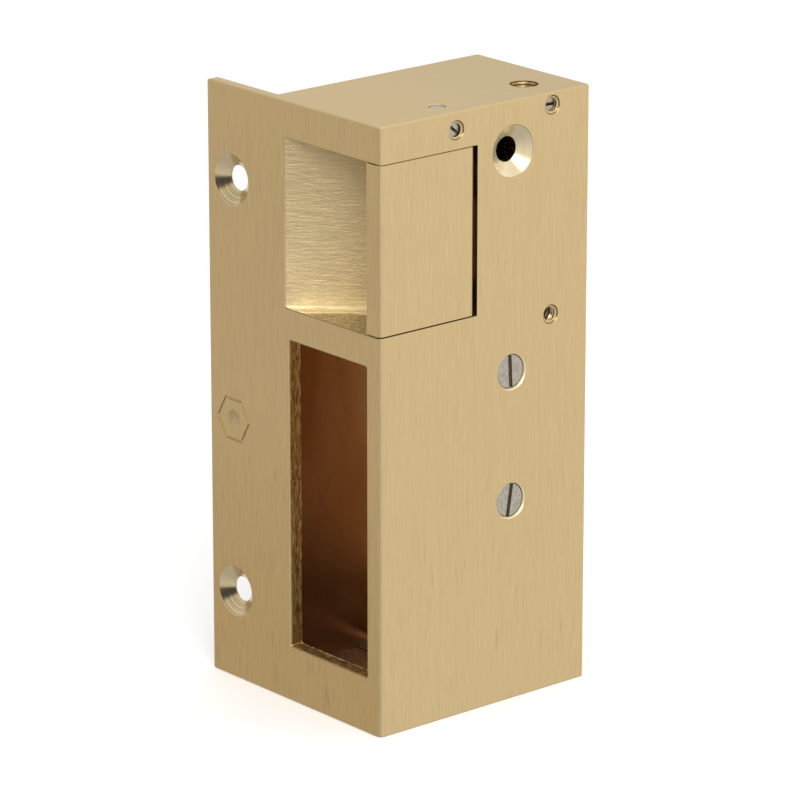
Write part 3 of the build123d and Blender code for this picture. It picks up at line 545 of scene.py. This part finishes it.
    def colour(self):
        patina = self.mix(self.step(self.stain, 0.35, 0.65), POCKET_STAIN, POCKET_BRASS)
        scraped = self.mix(self.step(self.churned, 0.40, 0.62), POCKET_FLOOR_DARK, POCKET_FLOOR_LIGHT)
        # Thread rings coloured dark and light in turn: painted shade and painted highlight.
        thread_light_and_shade = self.mix(self.step(self.thread, -0.7, 0.5), THREAD_SHADE, THREAD_HIGHLIGHT)
        # Plug hole: painted shade on its wall, painted highlight on a ring near its top.
        plug_wall_shade_and_highlight = self.mix(self.between(self.z, *PLUG_HIGHLIGHT_RING, 0.05), PLUG_WALL_SHADE, BURR_HIGHLIGHT)
        # Body countersink: turned rings in pale brass, painted light.
        turned = self.mix(self.step(self.body_rings, 0.35, 0.60), SINK_DARK, SINK_LIGHT)
        # Lathe rings only on the upward-facing lower wall: tool marks, and partly painted shade.
        grooves = self.both(self.lower_wall, self.opposite(self.step(self.flange_rings, 0.40, 0.56)))
        return self.layered(self.outside(), (
            (self.notch_floor, self.milled_floor()),
            # closed inside: painted shade
            (self.inside, INSIDE_SHADE_BRASS),
            (self.pocket, patina),
            # lower pocket: painted shade
            (self.pocket_low_shade, POCKET_LOW_SHADE),
            (self.pocket_floor, scraped),
            # pocket floor's corner line: painted shade
            (self.pocket_corner_shade, POCKET_CORNER_SHADE),
            (self.mouth, self.rough_mouth()),
            # lower rims: painted shade
            (self.shaded_lower_rims, RIM_SHADE_BRASS),
            (self.side_holes, thread_light_and_shade),
            (self.plug_hole, plug_wall_shade_and_highlight),
            # recesses: painted highlight
            (self.recesses, RECESS_HIGHLIGHT_BRASS),
            (self.body_sink, self.mix(self.step(self.body_radius, *SINK_LINE), turned, SINK_RIM_SHADE)),
            (self.flange_sinks, self.mix(grooves, LATHE_LIGHT, LATHE_DARK)),
        ))

    # Gloss and relief.
    def metal(self):
        """Metal, but half dull where the inside of a recess would mirror only darkness."""
        far_wall = self.both(self.body_sink, self.step(self.ny, -0.1, 0.3))
        dull = self.either(far_wall, self.recesses, self.both(self.mouth, self.sill))
        return self.minus(1.0, self.times(dull, 0.5))

    def rough(self):
        rough = self.plus(BRUSHED_ROUGH, self.times(self.brushed, 0.08))
        turned = self.either(self.side_holes, self.plug_hole, self.body_sink, self.flange_sinks)
        for mask, value in (
            (self.ramp, RAMP_ROUGH),
            (self.notch_floor, NOTCH_FLOOR_ROUGH),
            (self.pocket, POCKET_ROUGH),
            (self.pocket_floor, POCKET_FLOOR_ROUGH),
            (self.mouth, MOUTH_ROUGH),
            (turned, TURNED_ROUGH),
        ):
            rough = self.blend(mask, rough, value)
        return rough

    def relief(self):
        fine = self.blend(self.flat_end, self.upright_fine, self.across_fine)
        cutting = self.plus(
            self.times(self.cut, CUT_RELIEF),
            self.times(self.coarse_cut, COARSE_CUT_RELIEF),
        )
        milling = self.plus(
            self.times(self.waves, WAVE_RELIEF),
            self.times(self.churned, CHURNED_RELIEF),
        )
        relief = self.times(fine, BRUSHED_RELIEF)
        for mask, height in (
            (self.ramp, cutting),
            (self.notch_floor, milling),
            (self.pocket, self.times(self.stain, STAIN_RELIEF)),
            (self.pocket_floor, self.times(self.churned, POCKET_FLOOR_RELIEF)),
            (self.mouth, self.times(self.torn, TORN_RELIEF)),
            (self.shaded_lower_rims, 0.0),
            (self.side_holes, self.times(self.thread, THREAD_RELIEF)),
            (self.body_sink, self.times(self.body_rings, BODY_SINK_RELIEF)),
            (self.flange_sinks, self.times(self.flange_rings, self.lower_wall, LATHE_RELIEF)),
        ):
            relief = self.blend(mask, relief, height)
        return relief


# --- other metals and plastics --------------------------------------------------------------
METALS = {
    # slot: light colour, dark colour, roughness, grain per millimetre
    "steel": ((0.49, 0.45, 0.38), (0.325, 0.295, 0.245), 0.34, 2.2),
    # spring_steel is near black so the springs in the closed chamber read dark: painted shade.
    "spring_steel": ((0.16, 0.15, 0.14), (0.09, 0.085, 0.085), 0.30, 5.0),
    "zinc_steel": ((0.60, 0.61, 0.60), (0.44, 0.46, 0.47), 0.38, 1.2),
    "bare_brass": ((0.62, 0.53, 0.34), (0.36, 0.28, 0.14), 0.26, 2.0),
}
PLASTICS = {
    # slot: light colour, dark colour, roughness
    "black_plastic": ((0.03, 0.03, 0.032), (0.018, 0.018, 0.02), 0.45),
    "white_plastic": ((0.78, 0.77, 0.72), (0.66, 0.65, 0.60), 0.40),
    "tape": ((0.72, 0.50, 0.10), (0.60, 0.38, 0.06), 0.25),
    "rubber": ((0.028, 0.028, 0.028), (0.015, 0.015, 0.016), 0.65),
    "lead_insulation": ((0.42, 0.02, 0.02), (0.28, 0.012, 0.012), 0.35),
}
# Coil turns: dark at their edges and light on their crowns, painted shade and painted highlight.
WIRE_EDGE_SHADE = (0.18, 0.05, 0.015)
WIRE_CROWN_HIGHLIGHT = (0.62, 0.24, 0.09)
WIRE_PITCH = 0.3


def drawn_metal(name, light, dark, rough, grain_scale):
    """Drawn or turned metal with a fine mottled grain."""
    s = Shader(name)
    grain = s.noise(s.millimetres(), grain_scale, detail=4.0, rough=0.65)
    colour = s.mix(s.step(grain, 0.3, 0.7), dark, light)
    uneven = s.plus(rough, s.centred(grain, 0.16))
    return s.finish(colour, 1.0, uneven, s.bump(grain, 0.25, 0.02 * MM))


def moulded(name, light, dark, rough):
    """Moulded plastic or rubber with a faint spark-eroded grain."""
    s = Shader(name)
    point = s.millimetres()
    grain = s.noise(point, scale=6.0, detail=3.0, rough=0.6)
    colour = s.mix(s.noise(point, scale=0.4), dark, light)
    uneven = s.plus(rough, s.centred(grain, 0.2))
    return s.finish(colour, 0.0, uneven, s.bump(grain, 0.3, 0.03 * MM))


def wound_wire(name):
    """Enamelled copper wire in layers, as rings up the coil: each turn dark at its edges and light on its
    crown, painted shade and painted highlight.
    """
    s = Shader(name)
    height = s.split(s.millimetres())[2]
    turn = s.sine(s.times(height, math.tau / WIRE_PITCH))
    colour = s.mix(s.step(turn, -1.0, 1.0), WIRE_EDGE_SHADE, WIRE_CROWN_HIGHLIGHT)
    return s.finish(colour, 0.8, 0.35, s.bump(turn, 0.5, 0.1 * MM))


def make_materials():
    """One material for each slot of the record."""
    made = {"satin_brass": BlockBrass().material, "coil_wire": wound_wire("coil_wire")}
    for slot, values in METALS.items():
        made[slot] = drawn_metal(slot, *values)
    for slot, values in PLASTICS.items():
        made[slot] = moulded(slot, *values)
    return made


SHARP_ANGLE = 28


def dress_nodes():
    made = make_materials()
    for part in frame["record"]["subparts"]:
        node = NODES[part["node"]]
        mesh = node.data
        mesh.materials.clear()
        mesh.materials.append(made[part["material_slot"]])
        mesh.polygons.foreach_set("material_index", [0] * len(mesh.polygons))
        mesh.shade_smooth()
        mesh.set_sharp_from_angle(angle=math.radians(SHARP_ANGLE))


# --- stage: sizes in metres -----------------------------------------------------------------
FLOOR_SIZE = 6.0
FLOOR_WHITE = (0.95, 0.95, 0.95)
LIGHT_AIM = (0.0, 0.0, 0.055)
WHITE = (1.0, 1.0, 1.0)
WARM = (1.0, 0.96, 0.91)
SOFTBOXES = {
    # name: direction from the object, distance, size, radiance, colour
    "key": ((0.72, -0.24, 0.65), 0.80, (0.56, 0.46), 2.1, WHITE),
    "front": ((0.52, -0.57, 0.60), 0.90, (0.60, 0.42), 3.4, WHITE),
    "left_card": ((-0.80, -0.68, 0.22), 0.40, (0.40, 0.26), 0.12, WARM),
}
SKY = (
    # height of the direction from -1 to 1, brightness
    (-1.0, 0.50),
    (-0.35, 0.90),
    (0.0, 1.02),
    (0.35, 0.92),
    (1.0, 1.10),
)
BRIGHTER_SIDE = (0.135, 0.185, 0.0)
DARK_PATCH = (0.41, -0.90, 0.13)
DARK_PATCH_EDGE = (0.91, 0.965)
DARK_PATCH_LEVEL = 0.06


def make_floor():
    """A plain pale floor. The metal mirrors the studio's surround in place of it."""
    mesh = bpy.data.meshes.new("floor")
    size = FLOOR_SIZE
    corners = [(-size, -size, 0), (size, -size, 0), (size, size, 0), (-size, size, 0)]
    mesh.from_pydata(corners, [], [(0, 1, 2, 3)])
    floor = bpy.data.objects.new("floor", mesh)
    s = Shader("floor")
    s.put(s.surface.inputs["Base Color"], FLOOR_WHITE)
    s.put(s.surface.inputs["Roughness"], 0.9)
    mesh.materials.append(s.material)
    bpy.context.scene.collection.objects.link(floor)
    floor.visible_glossy = False


def softbox(name, toward, away, size, radiance, colour):
    """A soft rectangular light, seen from the object in a direction and facing it."""
    heading = Vector(toward).normalized()
    data = bpy.data.lights.new(name, "AREA")
    data.shape = "RECTANGLE"
    data.size, data.size_y = size
    data.energy = radiance * math.pi * size[0] * size[1]
    data.color = colour
    light = bpy.data.objects.new(name, data)
    light.location = Vector(LIGHT_AIM) + heading * away
    light.rotation_mode = "QUATERNION"
    light.rotation_quaternion = heading.to_track_quat("Z", "Y")
    light.visible_camera = False
    bpy.context.scene.collection.objects.link(light)


def make_world():
    """A soft surround: bright overhead, dim below, brighter behind on the right."""
    world = bpy.data.worlds.new("studio")
    bpy.context.scene.world = world
    world.use_nodes = True
    s = Nodes(world.node_tree)
    toward = s.place.outputs["Generated"]
    sky = s.add("ShaderNodeValToRGB")
    sky.color_ramp.interpolation = "B_SPLINE"
    stops = sky.color_ramp.elements
    while len(stops) < len(SKY):
        stops.new(0.5)
    for stop, (height, level) in zip(stops, SKY):
        stop.position = (height + 1.0) / 2.0
        stop.color = (level, level, level, 1.0)
    s.put(sky.inputs[0], s.times(s.plus(s.split(toward)[2], 1.0), 0.5))
    side = s.plus(s.dot(toward, BRIGHTER_SIDE), 1.0)
    patch = s.step(s.dot(toward, DARK_PATCH), *DARK_PATCH_EDGE)
    level = s.times(side, s.blend(patch, 1.0, DARK_PATCH_LEVEL))
    background = s.add("ShaderNodeBackground")
    s.put(background.inputs["Color"], s.scaled(sky.outputs["Color"], level))
    out = s.add("ShaderNodeOutputWorld")
    s.put(out.inputs["Surface"], background.outputs[0])


def set_colour_management():
    view = bpy.context.scene.view_settings
    view.view_transform = "Standard"
    view.look = "None"


make_camera()
set_colour_management()
dress_nodes()
make_floor()
make_world()
for name, values in SOFTBOXES.items():
    softbox(name, *values)
